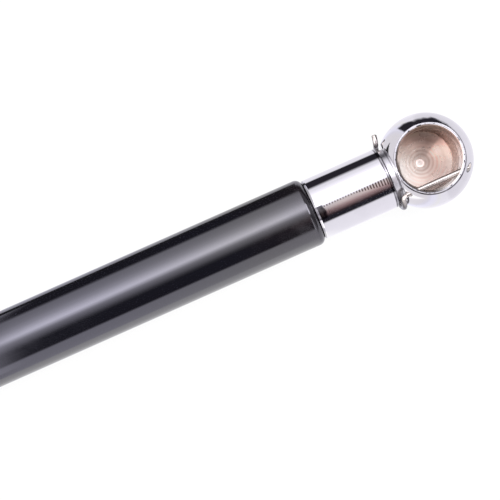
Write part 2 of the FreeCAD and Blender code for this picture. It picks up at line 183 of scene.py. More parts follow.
def ramp(tree, value, stops):
    # stops are values with their colours, or with levels of grey
    low, high = stops[0][0], stops[-1][0]
    made = addNode(tree, "ValToRGB", {0: remap(tree, value, low, high)})
    elements = made.color_ramp.elements
    while len(elements) < len(stops):
        elements.new(0.5)
    for element, (place, colour) in zip(elements, stops):
        element.position = (place - low) / (high - low)
        element.color = solid(colour) if isinstance(colour, tuple) else grey(colour)
    return made.outputs[0]


def levelRamp(tree, value, stops, peak):
    # levels of grey up to a peak that may pass one
    levels = ramp(tree, value, [(place, level / peak) for place, level in stops])
    return tinted(tree, levels, grey(peak))


# The studio: soft boxes along both sides of the strut with dark gaps between them.
# The angle is counted round the strut from straight up towards the -Y side.
studio = {
    "peak": 4.0,
    "light": [  # degrees, level
        (-180, 1.05), (-149, 1.05), (-139, 1.02), (-70, 0.97), (-65, 0.93), (-58.5, 0.0), (-27, 0.0),
        (-20, 0.12), (-14, 0.36), (-8, 0.66), (-3, 0.9), (2, 1.25), (10, 2.7), (15.5, 3.8), (22, 3.4),
        (29, 2.75), (40, 1.87), (54, 1.27), (70, 0.97), (91, 0.95), (140, 0.97), (148, 1.0), (180, 1.05),
    ],
    # tint by how far a direction leans towards +X, and what it is multiplied by
    "tint": [
        (-0.10, (0.902, 0.888, 0.948)), (-0.06, (0.900, 0.890, 0.950)), (-0.02, (0.905, 0.897, 0.900)),
        (0.12, (0.896, 0.888, 1.0)), (0.22, (0.896, 0.888, 1.0)), (0.35, (0.912, 0.890, 0.925)),
    ],
    "tintScale": 1.08, "darkest": (0.017, 0.0158, 0.023),
    # small boxes: the first shows in the tube's rolled edge, the second in the clip's leg and the seat
    "boxes": [
        {"x": (-0.48, -0.23, 0.008), "degrees": (-7, 30, 2.0), "level": 4.4},
        {"x": (-0.25, -0.162, 0.008), "degrees": (-66, -20, 2.0), "level": 2.0},
    ],
    # dark shelf on the -Y side: how far down it reaches (minus z) by degrees from -Y towards +X
    "shelf": {
        "reach": [
            (-90, 0.25), (-76, 0.27), (-64, 0.32), (-50, 0.40), (-44, 0.45), (-42, 0.50), (-37, 0.56),
            (-32, 0.47), (-20, 0.48), (-11, 0.44), (-5, 0.54), (0, 0.58), (12, 0.53),
        ],
        "over": (-0.09, 0.09), "under": (0.28, 0.02), "span": (-80, 12, 1.5),
        "wave": 9.0, "waveDepth": 0.2, "colour": (0.023, 0.021, 0.028),
    },
    "warmCard": {
        "bands": [  # degrees, colour
            (-45, (0.02, 0.015, 0.02)), (-40, (0.05, 0.03, 0.035)), (-26, (0.37, 0.25, 0.25)),
            (-14, (0.73, 0.61, 0.59)), (-2, (0.70, 0.65, 0.64)),
        ],
        "soft": 1.0, "x": (-0.16, -0.070, 0.004),
    },
    # soft boxes beyond the strut's ends, by degrees from -X towards -Y
    "ends": {
        "past": (0.19, 0.25), "above": (0.03, 0.13), "below": 0.9,
        "light": [
            (-180, 2.3), (-150, 2.4), (-120, 2.1), (-85, 1.4), (-68, 0.7), (-45, 0.18), (-24, 0.12),
            (0, 0.42), (18, 0.5), (35, 0.25), (75, 0.25), (120, 0.9), (150, 1.7), (180, 2.3),
        ],
    },
}


def buildStudio(settings):
    world = bpy.data.worlds.new("studio")
    scene.world = world
    world.use_nodes = True
    tree = world.node_tree
    tree.nodes.clear()
    direction = addNode(tree, "TexCoord").outputs["Generated"]
    x, y, z = split(tree, direction)
    toFront = product(tree, y, -1.0)
    degrees = degreesRound(tree, toFront, z)
    levels = levelRamp(tree, degrees, settings["light"], settings["peak"])

    ends = settings["ends"]
    aside = degreesRound(tree, toFront, product(tree, x, -1.0))
    raised = levelRamp(tree, aside, ends["light"], settings["peak"])
    lower = tinted(tree, levels, grey(ends["below"]))
    beyond = remap(tree, maths(tree, "ABSOLUTE", x), *ends["past"])
    levels = mixColours(tree, beyond, levels, mixColours(tree, remap(tree, z, *ends["above"]), lower, raised))

    for box in settings["boxes"]:
        across = product(tree, band(tree, degrees, *box["degrees"]), above(tree, z, 0.0))
        inBox = product(tree, band(tree, x, *box["x"]), across)
        levels = mixColours(tree, inBox, levels, grey(box["level"]))
    tints = tinted(tree, ramp(tree, x, settings["tint"]), grey(settings["tintScale"]))
    lit = tinted(tree, levels, tints)
    lit = mixColours(tree, 1.0, lit, solid(settings["darkest"]), "LIGHTEN")

    shelf = settings["shelf"]
    turn = degreesRound(tree, x, toFront)
    wave = noise(tree, direction, shelf["wave"])
    wave = maths(tree, "MULTIPLY_ADD", wave, shelf["waveDepth"], -shelf["waveDepth"] / 2)
    height = maths(tree, "ADD", z, ramp(tree, turn, shelf["reach"]), wave)
    dark = product(tree, remap(tree, height, *shelf["over"], kind="SMOOTHSTEP"),
                   remap(tree, z, *shelf["under"], kind="SMOOTHSTEP"), band(tree, turn, *shelf["span"]))
    lit = mixColours(tree, dark, lit, solid(shelf["colour"]))

    card = settings["warmCard"]
    low, high = card["bands"][0][0], card["bands"][-1][0]
    warm = product(tree, band(tree, degrees, low, high, card["soft"]), band(tree, x, *card["x"]))
    lit = mixColours(tree, warm, lit, ramp(tree, degrees, card["bands"]))

    seen = addNode(tree, "LightPath").outputs["Is Camera Ray"]
    shown = mixColours(tree, seen, lit, grey(1.0))
    background = addNode(tree, "Background", {"Color": shown, "Strength": 1.0})
    addNode(tree, "OutputWorld", {0: background.outputs[0]})


buildStudio(studio)

# Lamp over the mouth for what isn't mirror bright, so the metal doesn't show it
lamp = {
    "towards": (-0.42, -0.12, 1.0), "distance": 0.5, "size": 0.26, "power": 2.3, "colour": (1.0, 0.97, 0.94),
}


def placeLamp(settings):
    data = bpy.data.lights.new("softLamp", "AREA")
    data.shape = "DISK"
    data.size = settings["size"]
    data.energy = settings["power"]
    data.color = settings["colour"]
    made = bpy.data.objects.new("softLamp", data)
    towards = Vector(settings["towards"]).normalized()
    made.location = towards * settings["distance"]
    made.rotation_euler = towards.to_track_quat("Z", "Y").to_euler()
    made.visible_glossy = False
    scene.collection.objects.link(made)


placeLamp(lamp)

# White floor that the heads lie on, with a faint shadow
floor = {
    "drop": 10.3 * mm, "reach": 14.0, "colour": (0.92, 0.92, 0.92), "shadowShare": 0.07,
    # strips beside the tube that only the metal sees, one black and one white: from, to and soft in mm
    "strips": [
        {"x": (25.4, 262.0, 1.0), "y": (-34.0, -21.5, 1.0), "level": 0.03},
        {"x": (25.4, 262.0, 6.0), "y": (9.5, 60.0, 6.0), "level": 1.28},
    ],
}


def glowing(tree, level):
    return addNode(tree, "Emission", {"Color": grey(level), "Strength": 1.0}).outputs[0]


def mixShaders(tree, share, first, second):
    return addNode(tree, "MixShader", {0: share, 1: first, 2: second}).outputs[0]


def millimetres(tree, place):
    return addNode(tree, "VectorMath", {0: place, 1: (1 / mm,) * 3}, operation="MULTIPLY").outputs[0]


def buildFloor(settings):
    reach = settings["reach"]
    mesh = bpy.data.meshes.new("floor")
    corners = [(-reach, -reach, 0), (reach, -reach, 0), (reach, reach, 0), (-reach, reach, 0)]
    mesh.from_pydata(corners, [], [(0, 1, 2, 3)])
    made = bpy.data.objects.new("floor", mesh)
    made.location.z = -settings["drop"]
    scene.collection.objects.link(made)
    material = bpy.data.materials.new("paleFloor")
    material.use_nodes = True
    tree = material.node_tree
    tree.nodes.clear()
    path = addNode(tree, "LightPath").outputs
    seen = greatest(tree, path["Is Camera Ray"], path["Is Glossy Ray"], path["Is Transmission Ray"])
    share = product(tree, seen, 1 - settings["shadowShare"])
    lit = addNode(tree, "BsdfDiffuse", {"Color": solid(settings["colour"])}).outputs[0]
    shown = mixShaders(tree, share, lit, glowing(tree, 1.0))
    x, y = split(tree, millimetres(tree, addNode(tree, "TexCoord").outputs["Object"]))[:2]
    mirrored = addNode(tree, "BsdfTransparent").outputs[0]
    for strip in settings["strips"]:
        inside = product(tree, band(tree, x, *strip["x"]), band(tree, y, *strip["y"]))
        mirrored = mixShaders(tree, inside, mirrored, glowing(tree, strip["level"]))
    shown = mixShaders(tree, path["Is Glossy Ray"], shown, mirrored)
    addNode(tree, "OutputMaterial", {0: shown})
    mesh.materials.append(material)


buildFloor(floor)
print("studio and floor built")


# Shader groups that several materials share, with lengths in mm. An input without a value is a vector.
def newGroup(name, inputs, outputs):
    tree = bpy.data.node_groups.new(name, "ShaderNodeTree")
    for label, value in inputs.items():
        kind = "NodeSocketVector" if value is None else "NodeSocketFloat"
        socket = tree.interface.new_socket(label, in_out="INPUT", socket_type=kind)
        if value is not None:
            socket.default_value = value
    for label in outputs:
        tree.interface.new_socket(label, in_out="OUTPUT", socket_type="NodeSocketFloat")
    given = tree.nodes.new("NodeGroupInput").outputs
    wanted = tree.nodes.new("NodeGroupOutput").inputs

    def send(label, value):
        tree.links.new(value, wanted[label])

    return tree, given, send


def buildTurningMarks():
    # rings that a lathe tool leaves: noise by the distance that the tool has travelled
    tree, given, send = newGroup("turningMarks", {"Along": 0.0, "Pitch": 0.1}, ["Height", "Shade"])

    def unevenness(place, scale, detail):
        inputs = {"W": place, "Scale": scale, "Detail": detail}
        return addNode(tree, "TexNoise", inputs, noise_dimensions="1D").outputs[0]

    place = maths(tree, "DIVIDE", given["Along"], given["Pitch"])
    fine = unevenness(place, 0.5, 3.0)
    broad = unevenness(maths(tree, "ADD", place, 40.0), 0.09, 2.0)
    send("Height", fine)
    send("Shade", remap(tree, blend(tree, broad, 0.6, fine), 0.35, 0.65))
    return tree


def buildHandling():
    # smudges and fine scratches from handling
    inputs = {"Vector": None, "Smudge Size": 6.0, "Scratch Size": 0.6}
    tree, given, send = newGroup("handling", inputs, ["Smudge", "Scratch"])
    place = given["Vector"]
    smudge = maths(tree, "DIVIDE", 1.0, given["Smudge Size"])
    smudge = noise(tree, place, smudge, detail=4.0, roughness=0.6)
    stretch = {"Vector": place, "Rotation": (0.4, 0.9, 0.6), "Scale": (1.0, 14.0, 1.0)}
    stretched = addNode(tree, "Mapping", stretch).outputs[0]
    cells = {"Vector": stretched, "Scale": maths(tree, "DIVIDE", 0.12, given["Scratch Size"])}
    edges = addNode(tree, "TexVoronoi", cells, feature="DISTANCE_TO_EDGE").outputs["Distance"]
    send("Smudge", remap(tree, smudge, 0.45, 0.7))
    send("Scratch", remap(tree, edges, 0.012, 0.0))
    return tree


def buildDrawnLines():
    # fine lines along the strut: noise squeezed lengthwise
    inputs = {"Vector": None, "Line Width": 0.25, "Line Length": 30.0}
    tree, given, send = newGroup("drawnLines", inputs, ["Height", "Mask"])
    sizes = [given[label] for label in ("Line Length", "Line Width", "Line Width")]
    parts = [maths(tree, "DIVIDE", *pair) for pair in zip(split(tree, given["Vector"]), sizes)]
    squeezed = addNode(tree, "CombineXYZ", dict(enumerate(parts))).outputs[0]
    lines = noise(tree, squeezed, 1.0, detail=3.0, roughness=0.55)
    send("Height", lines)
    send("Mask", remap(tree, lines, 0.4, 0.65))
    return tree


groups = {"marks": buildTurningMarks(), "hands": buildHandling(), "lines": buildDrawnLines()}


def turned(tree, along, pitch):
    inputs = {"Along": along, "Pitch": pitch}
    return addNode(tree, "Group", inputs, node_tree=groups["marks"]).outputs


def handled(tree, place, smudge, scratch):
    inputs = {"Vector": place, "Smudge Size": smudge, "Scratch Size": scratch}
    return addNode(tree, "Group", inputs, node_tree=groups["hands"]).outputs


def drawn(tree, place, width, length):
    inputs = {"Vector": place, "Line Width": width, "Line Length": length}
    return addNode(tree, "Group", inputs, node_tree=groups["lines"]).outputs


def startMaterial(name, **plain):
    material = bpy.data.materials.new(name)
    material.use_nodes = True
    tree = material.node_tree
    surface = tree.nodes["Principled BSDF"]
    for label, value in plain.items():
        surface.inputs[label.replace("_", " ")].default_value = value
    return material, tree, surface.inputs, millimetres(tree, addNode(tree, "TexCoord").outputs["Object"])


def coat(tree, inputs, colour, roughness, height, marks):
    # marks are how strong and how deep, in mm
    tree.links.new(colour, inputs["Base Color"])
    tree.links.new(roughness, inputs["Roughness"])
    strength, depth = marks
    bump = addNode(tree, "Bump", {"Height": height, "Strength": strength, "Distance": depth * mm})
    tree.links.new(bump.outputs[0], inputs["Normal"])


# Bright plate over finely turned steel, with lengths in mm
chrome = {
    "colour": (0.80, 0.785, 0.815), "shade": (0.74, 0.72, 0.76), "rough": (0.045, 0.12),
    # the first colour on this line is that of the painted shade
    "paintedShade": (0.032, 0.028, 0.038), "patches": 0.5,
    "pitch": 0.12, "ripple": 2.2, "marks": (0.08, 0.02),
    # painted shade lines at the edges of the neck's groove: from and to along the strut, and how strong
    "neckShadeLines": [(8.95, 9.32, 0.97), (9.32, 9.48, 0.6), (9.48, 9.80, 0.88), (7.62, 7.95, 0.6)],
    "lineSoft": 0.05,
    # rougher floor of the neck: from, to and soft, within a radius
    "neck": (7.45, 8.95, 0.04), "neckRadius": 6.3, "neckRough": 0.3,
    # painted shade rings on the rim: radius from, to and soft, and how strong over a span towards one side
    "rim": 6.7,
    "rimShadeLines": [
        {"radius": (7.43, 7.70, 0.04), "side": (-0.36, 0.93), "over": (-2.5, 1.0, 0.3325, 0.95)},
        {"radius": (7.0, 7.27, 0.03), "side": (0.93, 0.36), "over": (0.0, 3.0, 0.0, 0.93)},
    ],
    # dark specks painted on the rim for the mottled reflection in it
    "flecks": {"radius": (6.93, 7.36, 0.04), "noise": 1.3, "over": (0.55, 0.60, 0.0, 0.95)},
    # painted shade ring where the clip's leg comes out
    "hole": {"y": 5.092, "z": 5.5, "radius": (0.6, 0.86, 0.05), "strength": 0.85},
    # dark teeth painted on the shank along the edge of its warm reflection, for chatter marks seen in it:
    # they start at y, and get shorter and thinner over x
    "chatterInReflection": {
        "x": (9.9, 24.6, 0.2), "y": -0.02, "lengths": (1.6, 0.36), "by": 17.5, "pitch": 0.62,
        "colour": (0.11, 0.062, 0.066), "strength": 0.92, "gaps": (-0.05, 0.3), "noise": 0.5, "uneven": 1.2,
        "toothEdge": (-0.3, 0.3), "startEdge": (-0.06, 0.06), "endEdge": (-0.06, 0.1),
    },
    # painted shade where the shank meets the tube and on its end bevel, which the shank's end face is free of
    "mouthShade": {
        "x": (24.75, 27.1, 0.2), "y": (-0.3, 2.7, 0.15), "ring": (26.05, 26.6, 0.03), "ringStrength": 0.55,
        "ragged": 0.5, "outside": 6.45,
    },
}


# painted reflection: dark teeth where the shank reflects the warm band's edge
def paintedChatterReflection(tree, settings, place, x, y, z):
    start, by = settings["x"][0], settings["by"]
    loose = noise(tree, place, settings["noise"], detail=1.0)
    loose = maths(tree, "MULTIPLY_ADD", loose, settings["uneven"], -settings["uneven"] / 2)
    wave = maths(tree, "SINE", product(tree, x, 2 * math.pi / settings["pitch"]))
    gap = remap(tree, x, start, by, *settings["gaps"])
    teeth = maths(tree, "SUBTRACT", maths(tree, "ADD", wave, loose), gap)
    begun = maths(tree, "SUBTRACT", y, settings["y"])
    left = maths(tree, "SUBTRACT", remap(tree, x, start, by, *settings["lengths"]), begun)
    return product(tree, band(tree, x, *settings["x"]), remap(tree, teeth, *settings["toothEdge"]),
                   remap(tree, begun, *settings["startEdge"]), remap(tree, left, *settings["endEdge"]),
                   above(tree, z, 0.0), settings["strength"])


# painted shade and dark reflections: lines in the neck, rings and specks on the rim, a ring round the leg's
# hole and a blot where the shank meets the tube
def chromePaintedShade(tree, settings, place, smudge, x, y, z):
    fromMouth = fromAxis(tree, x, y)
    onRim = above(tree, z, settings["rim"])
    paintedShade = []
    for start, end, strength in settings["neckShadeLines"]:
        paintedShade.append(product(tree, band(tree, x, start, end, settings["lineSoft"]), strength))
    for line in settings["rimShadeLines"]:
        share = remap(tree, towardsSide(tree, x, y, line["side"]), *line["over"])
        paintedShade.append(product(tree, band(tree, fromMouth, *line["radius"]), onRim, share))
    flecks = settings["flecks"]
    specks = remap(tree, noise(tree, place, flecks["noise"], detail=1.0), *flecks["over"])
    paintedShade.append(product(tree, band(tree, fromMouth, *flecks["radius"]), onRim, specks))
    hole = settings["hole"]
    fromHole = fromAxis(tree, maths(tree, "SUBTRACT", y, hole["y"]), maths(tree, "SUBTRACT", z, hole["z"]))
    paintedShade.append(product(tree, band(tree, fromHole, *hole["radius"]), below(tree, x, 0.0), hole["strength"]))
    mouth = settings["mouthShade"]
    ragged = maths(tree, "MULTIPLY_ADD", smudge, mouth["ragged"], x)
    blot = product(tree, band(tree, ragged, *mouth["x"]), band(tree, y, *mouth["y"]), above(tree, z, 0.0))
    ring = product(tree, band(tree, x, *mouth["ring"]), mouth["ringStrength"])
    outside = above(tree, fromAxis(tree, y, z), mouth["outside"])
    paintedShade.append(product(tree, greatest(tree, blot, ring), outside))
    patchy = remap(tree, noise(tree, place, settings["patches"]), 0.35, 0.6, 0.75, 1.0)
    return product(tree, greatest(tree, *paintedShade), patchy)


def makeChromePlate(name, settings):
    material, tree, inputs, place = startMaterial(name, Metallic=1.0)
    x, y, z = split(tree, place)
    marks = turned(tree, x, settings["pitch"])
    hands = handled(tree, place, smudge=5, scratch=0.7)
    halfSmudge = product(tree, hands["Smudge"], 0.5)
    colour = mixColours(tree, halfSmudge, solid(settings["colour"]), solid(settings["shade"]))
    chatterInReflection = settings["chatterInReflection"]
    # painted reflection teeth along the warm band's edge
    colour = mixColours(tree, paintedChatterReflection(tree, chatterInReflection, place, x, y, z), colour, solid(chatterInReflection["colour"]))
    # painted shade in the neck, on the rim, round the leg's hole and at the tube
    paintedShade = chromePaintedShade(tree, settings, place, hands["Smudge"], x, y, z)
    colour = mixColours(tree, paintedShade, colour, solid(settings["paintedShade"]))
    worn = remap(tree, greatest(tree, halfSmudge, hands["Scratch"]), 0.0, 1.0, *settings["rough"])
    inNeck = product(tree, band(tree, x, *settings["neck"]), settings["neckRough"],
                     below(tree, fromAxis(tree, y, z), settings["neckRadius"]))
    height = blend(tree, marks["Height"], 0.7, noise(tree, place, settings["ripple"]))
    coat(tree, inputs, colour, greatest(tree, worn, inNeck), height, settings["marks"])
    return material


# Bare turned seat inside the head, with painted shade towards one side and painted reflections, with lengths
# in mm
seat = {
    # the second entry is the colour of the painted shade
    "metal": 0.45, "paintedShadeColour": (0.06, 0.045, 0.04), "rough": (0.26, 0.38), "worn": (0.79, 0.73, 0.70),
    "pitch": 0.3, "steepness": 0.7, "marks": (0.4, 0.05),
    # rings of the drill's point, clear near the middle: how far apart, from where and how strong
    "ringPitch": 0.8, "ringStart": 1.12, "ringFade": (1.4, 4.2, 1.0, 0.15), "rings": -0.95,
    # painted shade darkens one side: towards it, and colour
    "darkerSide": (-0.40, -0.92), "darkerUneven": 0.8,
    "sideShade": [
        (-6.5, (1.0, 1.0, 1.0)), (-3.5, (1.0, 0.99, 0.98)), (-0.5, (0.96, 0.90, 0.87)),
        (1.8, (0.79, 0.66, 0.605)), (3.8, (0.51, 0.375, 0.328)), (5.2, (0.285, 0.187, 0.156)),
        (6.9, (0.227, 0.163, 0.128)),
    ],
    # painted reflection fan on the cone: degrees from -X towards -Y and how much brighter, from nothing to
    # all over a span
    "fan": [
        (-180, 1.12), (-124, 1.1), (-84, 1.0), (-44, 1.06), (-24, 1.25), (-4, 1.62), (14, 2.25), (27, 2.38),
        (34, 1.4), (56, 1.41), (76, 1.7), (96, 1.93), (116, 1.28), (136, 1.06), (180, 1.12),
    ],
    "fanSpan": (1.6, 3.9), "coneTop": -3.6, "brightest": 2.5,
    # painted highlight round the pip: how much brighter the middle is, by radius
    "hub": [(0.0, 0.72), (0.5, 0.78), (0.75, 1.12), (1.0, 1.08), (1.3, 0.86), (1.6, 0.9)],
    # painted reflection colour: a cooler look on one side and a warmer one on the other
    "blushSide": (-0.5, 0.87),
    "blush": [(-3.3, (0.92, 1.015, 1.05)), (0.0, (1.0, 1.0, 1.0)), (3.3, (1.13, 0.985, 0.93))],
    # painted shade in the corners: the side where it lies, the span over which it comes, heights, and how
    # strong
    "shadedSide": (0.93, 0.36), "shadeSpan": (1.0, 4.0),
    "ledge": (4.55, 5.15, 0.08), "lip": 6.62, "corners": 0.92,
    # painted shade at the cone's edge: radius from and to, more where y is more, and a span towards the same
    # side
    "crescent": {"radius": (5.0, 5.2), "lean": 0.11, "over": (3.3, 4.3, 0.0, 0.85)},
    # painted shadow under the clip's leg: a span of y with how strong, and below this height
    "underWire": {"over": (5.3, 5.9, 0.0, 0.62), "top": 4.6},
}


def seatMarksAndPaintedLight(tree, settings, x, y, z, fromMouth, smudge, share):
    uneven = maths(tree, "MULTIPLY_ADD", smudge, settings["darkerUneven"],
                   towardsSide(tree, x, y, settings["darkerSide"]))
    # painted shade, darker towards one side of the seat
    tint = ramp(tree, uneven, settings["sideShade"])
    tint = mixColours(tree, share, tinted(tree, tint, solid(settings["worn"])), tint)
    peak = settings["brightest"]
    angle = degreesRound(tree, product(tree, y, -1.0), product(tree, x, -1.0))
    # painted reflection fan and highlight on the cone
    opened = remap(tree, fromMouth, *settings["fanSpan"], kind="SMOOTHSTEP")
    fan = mixColours(tree, opened, levelRamp(tree, fromMouth, settings["hub"], peak),
                     levelRamp(tree, angle, settings["fan"], peak))
    blush = ramp(tree, towardsSide(tree, x, y, settings["blushSide"]), settings["blush"])
    fan = mixColours(tree, above(tree, z, settings["coneTop"]), tinted(tree, fan, blush), grey(1.0))
    return tinted(tree, tint, fan)


# painted shade in the seat's corners, at the cone's edge and under the clip's leg
def seatPaintedShade(tree, settings, x, y, z, fromMouth):
    aside = towardsSide(tree, x, y, settings["shadedSide"])
    corner = greatest(tree, band(tree, z, *settings["ledge"]), above(tree, z, settings["lip"]))
    corner = product(tree, corner, remap(tree, aside, *settings["shadeSpan"]), settings["corners"])
    edge = settings["crescent"]
    leaning = maths(tree, "MULTIPLY_ADD", y, -edge["lean"], fromMouth)
    crescent = product(tree, remap(tree, leaning, *edge["radius"]), remap(tree, aside, *edge["over"]),
                       below(tree, z, 0.0))
    kept = settings["underWire"]
    under = product(tree, remap(tree, y, *kept["over"]), below(tree, z, kept["top"]))
    return greatest(tree, corner, crescent, under)


def makeTurnedSeat(name, settings):
    material, tree, inputs, place = startMaterial(name, Metallic=settings["metal"])
    x, y, z = split(tree, place)
    fromMouth = fromAxis(tree, x, y)
    travelled = maths(tree, "MULTIPLY_ADD", z, settings["steepness"], fromMouth)
    marks = turned(tree, travelled, settings["pitch"])
    hands = handled(tree, place, smudge=4, scratch=0.9)
    wave = maths(tree, "SINE", product(tree, fromMouth, 2 * math.pi / settings["ringPitch"]))
    rings = product(tree, wave, remap(tree, fromMouth, *settings["ringFade"]),
                    above(tree, fromMouth, settings["ringStart"]), settings["rings"])
    share = maths(tree, "ADD", maths(tree, "MULTIPLY_ADD", marks["Shade"], 0.5, 0.25), rings)
    share = remap(tree, share, 0.0, 1.0)
    tint = seatMarksAndPaintedLight(tree, settings, x, y, z, fromMouth, hands["Smudge"], share)
    # painted shade in the seat
    paintedShade = seatPaintedShade(tree, settings, x, y, z, fromMouth)
    colour = mixColours(tree, paintedShade, tint, solid(settings["paintedShadeColour"]))
    rough = remap(tree, hands["Smudge"], 0.0, 1.0, *settings["rough"])
    height = maths(tree, "MULTIPLY_ADD", rings, 0.5, marks["Height"])
    coat(tree, inputs, colour, rough, height, settings["marks"])
    return material


# Gloss black enamel, baked on the tube, with a hint of brown near the tube's end
enamel = {
    "black": (0.004, 0.004, 0.006), "brown": (0.006, 0.0045, 0.005), "rough": (0.07, 0.13), "handled": 0.14,
    "reflect": 2.12, "cast": (0.94, 0.92, 1.0), "nearEnd": (48.4, 29.4), "marks": (0.12, 0.02),
}


def makeBlackEnamel(name, settings):
    plain = {"IOR": settings["reflect"], "Specular_Tint": solid(settings["cast"])}
    material, tree, inputs, place = startMaterial(name, **plain)
    lines = drawn(tree, place, width=0.35, length=45)
    hands = handled(tree, place, smudge=9, scratch=0.9)
    nearEnd = remap(tree, split(tree, place)[0], *settings["nearEnd"], kind="SMOOTHSTEP")
    tint = product(tree, nearEnd, maths(tree, "MULTIPLY_ADD", hands["Smudge"], 0.5, 0.5))
    colour = mixColours(tree, tint, solid(settings["black"]), solid(settings["brown"]))
    worn = greatest(tree, product(tree, hands["Smudge"], 0.6), product(tree, hands["Scratch"], 0.8))
    patches = product(tree, nearEnd, hands["Smudge"], settings["handled"])
    rough = maths(tree, "ADD", remap(tree, worn, 0.0, 1.0, *settings["rough"]), patches)
    coat(tree, inputs, colour, rough, lines["Height"], settings["marks"])
    return material


def twoTone(tree, shade, settings):
    return mixColours(tree, shade, solid(settings["light"]), solid(settings["dark"]))


# Wire drawn bright, with lines along it
wire = {
    "light": (0.72, 0.67, 0.63), "dark": (0.46, 0.41, 0.385), "rough": (0.12, 0.26), "marks": (0.25, 0.02),
    # painted shade on the wire's upright sides: its colour, and how far up a side faces where it comes in
    "edge": (0.07, 0.06, 0.065), "upright": (0.62, 0.3),
}


def makeSpringWire(name, settings):
    material, tree, inputs, place = startMaterial(name, Metallic=1.0)
    lines = drawn(tree, place, width=0.12, length=4)
    hands = handled(tree, place, smudge=2, scratch=0.4)
    shade = blend(tree, lines["Mask"], 0.6, hands["Smudge"])
    # painted shade on the wire's upright sides
    faceUp = split(tree, addNode(tree, "TexCoord").outputs["Normal"])[2]
    paintedFlankShade = remap(tree, maths(tree, "ABSOLUTE", faceUp), *settings["upright"])
    colour = mixColours(tree, paintedFlankShade, twoTone(tree, shade, settings), solid(settings["edge"]))
    rough = remap(tree, shade, 0.0, 1.0, *settings["rough"])
    coat(tree, inputs, colour, rough, lines["Height"], settings["marks"])
    return material


# Rod, ground and polished round its axis
ground = {
    "light": (0.74, 0.74, 0.75), "dark": (0.62, 0.62, 0.64), "rough": (0.08, 0.18), "marks": (0.12, 0.02),
}


def makeGroundRod(name, settings):
    material, tree, inputs, place = startMaterial(name, Metallic=1.0)
    marks = turned(tree, split(tree, place)[0], pitch=0.09)
    hands = handled(tree, place, smudge=8, scratch=0.8)
    shade = blend(tree, marks["Shade"], 0.5, hands["Smudge"])
    rough = remap(tree, greatest(tree, shade, hands["Scratch"]), 0.0, 1.0, *settings["rough"])
    coat(tree, inputs, twoTone(tree, shade, settings), rough, marks["Height"], settings["marks"])
    return material


# Turned metal of the inner pieces: steel, brass and alloy differ only in these
turnedMetals = {
    "turnedSteel": {"light": (0.60, 0.60, 0.61), "dark": (0.42, 0.42, 0.44), "rough": (0.22, 0.4)},
    "bushBrass": {"light": (0.76, 0.60, 0.32), "dark": (0.56, 0.40, 0.19), "rough": (0.2, 0.38)},
    "pistonAlloy": {"light": (0.74, 0.75, 0.76), "dark": (0.56, 0.57, 0.59), "rough": (0.25, 0.42)},
}


def makeTurnedMetal(name, settings):
    material, tree, inputs, place = startMaterial(name, Metallic=1.0)
    x, y, z = split(tree, place)
    marks = turned(tree, maths(tree, "ADD", x, fromAxis(tree, y, z)), pitch=0.14)
    hands = handled(tree, place, smudge=4, scratch=0.5)
    shade = blend(tree, marks["Shade"], 0.6, hands["Smudge"])
    rough = remap(tree, shade, 0.0, 1.0, *settings["rough"])
    coat(tree, inputs, twoTone(tree, shade, settings), rough, marks["Height"], marks=(0.3, 0.03))
    return material


# Moulded pieces: rubber seals and the plastic ring
mouldedStuffs = {
    "nitrileRubber": {"light": (0.030, 0.030, 0.031), "dark": (0.014, 0.014, 0.015), "rough": (0.42, 0.65)},
    "ringPlastic": {"light": (0.78, 0.75, 0.67), "dark": (0.66, 0.62, 0.53), "rough": (0.38, 0.55)},
}


def makeMoulded(name, settings):
    material, tree, inputs, place = startMaterial(name)
    grain = noise(tree, place, 2.6, detail=3.0)
    hands = handled(tree, place, smudge=3, scratch=0.4)
    shade = blend(tree, grain, 0.5, hands["Smudge"])
    colour = mixColours(tree, shade, solid(settings["dark"]), solid(settings["light"]))
    rough = remap(tree, shade, 0.0, 1.0, *settings["rough"])
    coat(tree, inputs, colour, rough, grain, marks=(0.25, 0.03))
    return material


chromePlate = makeChromePlate("chromePlate", chrome)
turnedSeat = makeTurnedSeat("turnedSeat", seat)
blackEnamel = makeBlackEnamel("blackEnamel", enamel)
springWire = makeSpringWire("springWire", wire)
groundRod = makeGroundRod("groundRod", ground)
finishes = {name: makeTurnedMetal(name, values) for name, values in turnedMetals.items()}
finishes.update({name: makeMoulded(name, values) for name, values in mouldedStuffs.items()})
print("materials built")

# Finishes of the pieces that keep their CAD shape
keptPieces = {
    "turnedSteel": [
        "end_plug", "tube_stud", "seal_support_ring", "closing_ring", "orifice_disc", "piston_washer",
        "piston_nut",
    ],
    "nitrileRubber": ["end_plug_oring", "guide_oring", "rod_seal", "rebound_buffer"],
    "bushBrass": ["guide_bush"],
    "pistonAlloy": ["piston"],
    "ringPlastic": ["piston_ring"],
}
for finish, nodes in keptPieces.items():
    for node in nodes:
        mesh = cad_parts[node].data
        mesh.materials.clear()
        mesh.materials.append(finishes[finish])


# Outlines are lists of (along, radius, fillet) in mm, and come back with each fillet as short chords
def filletOutline(points, chords=6):
    made = []
    last = len(points) - 1
    for index, point in enumerate(points):
        fillet = point[2] if len(point) > 2 else 0
        here = Vector(point[:2])
        if fillet <= 0 or index in (0, last):
            made.append((here.x, here.y))
            continue
        before = (Vector(points[index - 1][:2]) - here).normalized()
        after = (Vector(points[index + 1][:2]) - here).normalized()
        half = math.acos(max(-1, min(1, before.dot(after)))) / 2
        centre = here + (before + after).normalized() * fillet / math.sin(half)
        first = here + before * fillet / math.tan(half) - centre
        turn = first.angle_signed(here + after * fillet / math.tan(half) - centre)
        for step in range(chords + 1):
            arm = first.copy()
            arm.rotate(Matrix.Rotation(-turn * step / chords, 2))
            made.append((centre.x + arm.x, centre.y + arm.y))
    return made


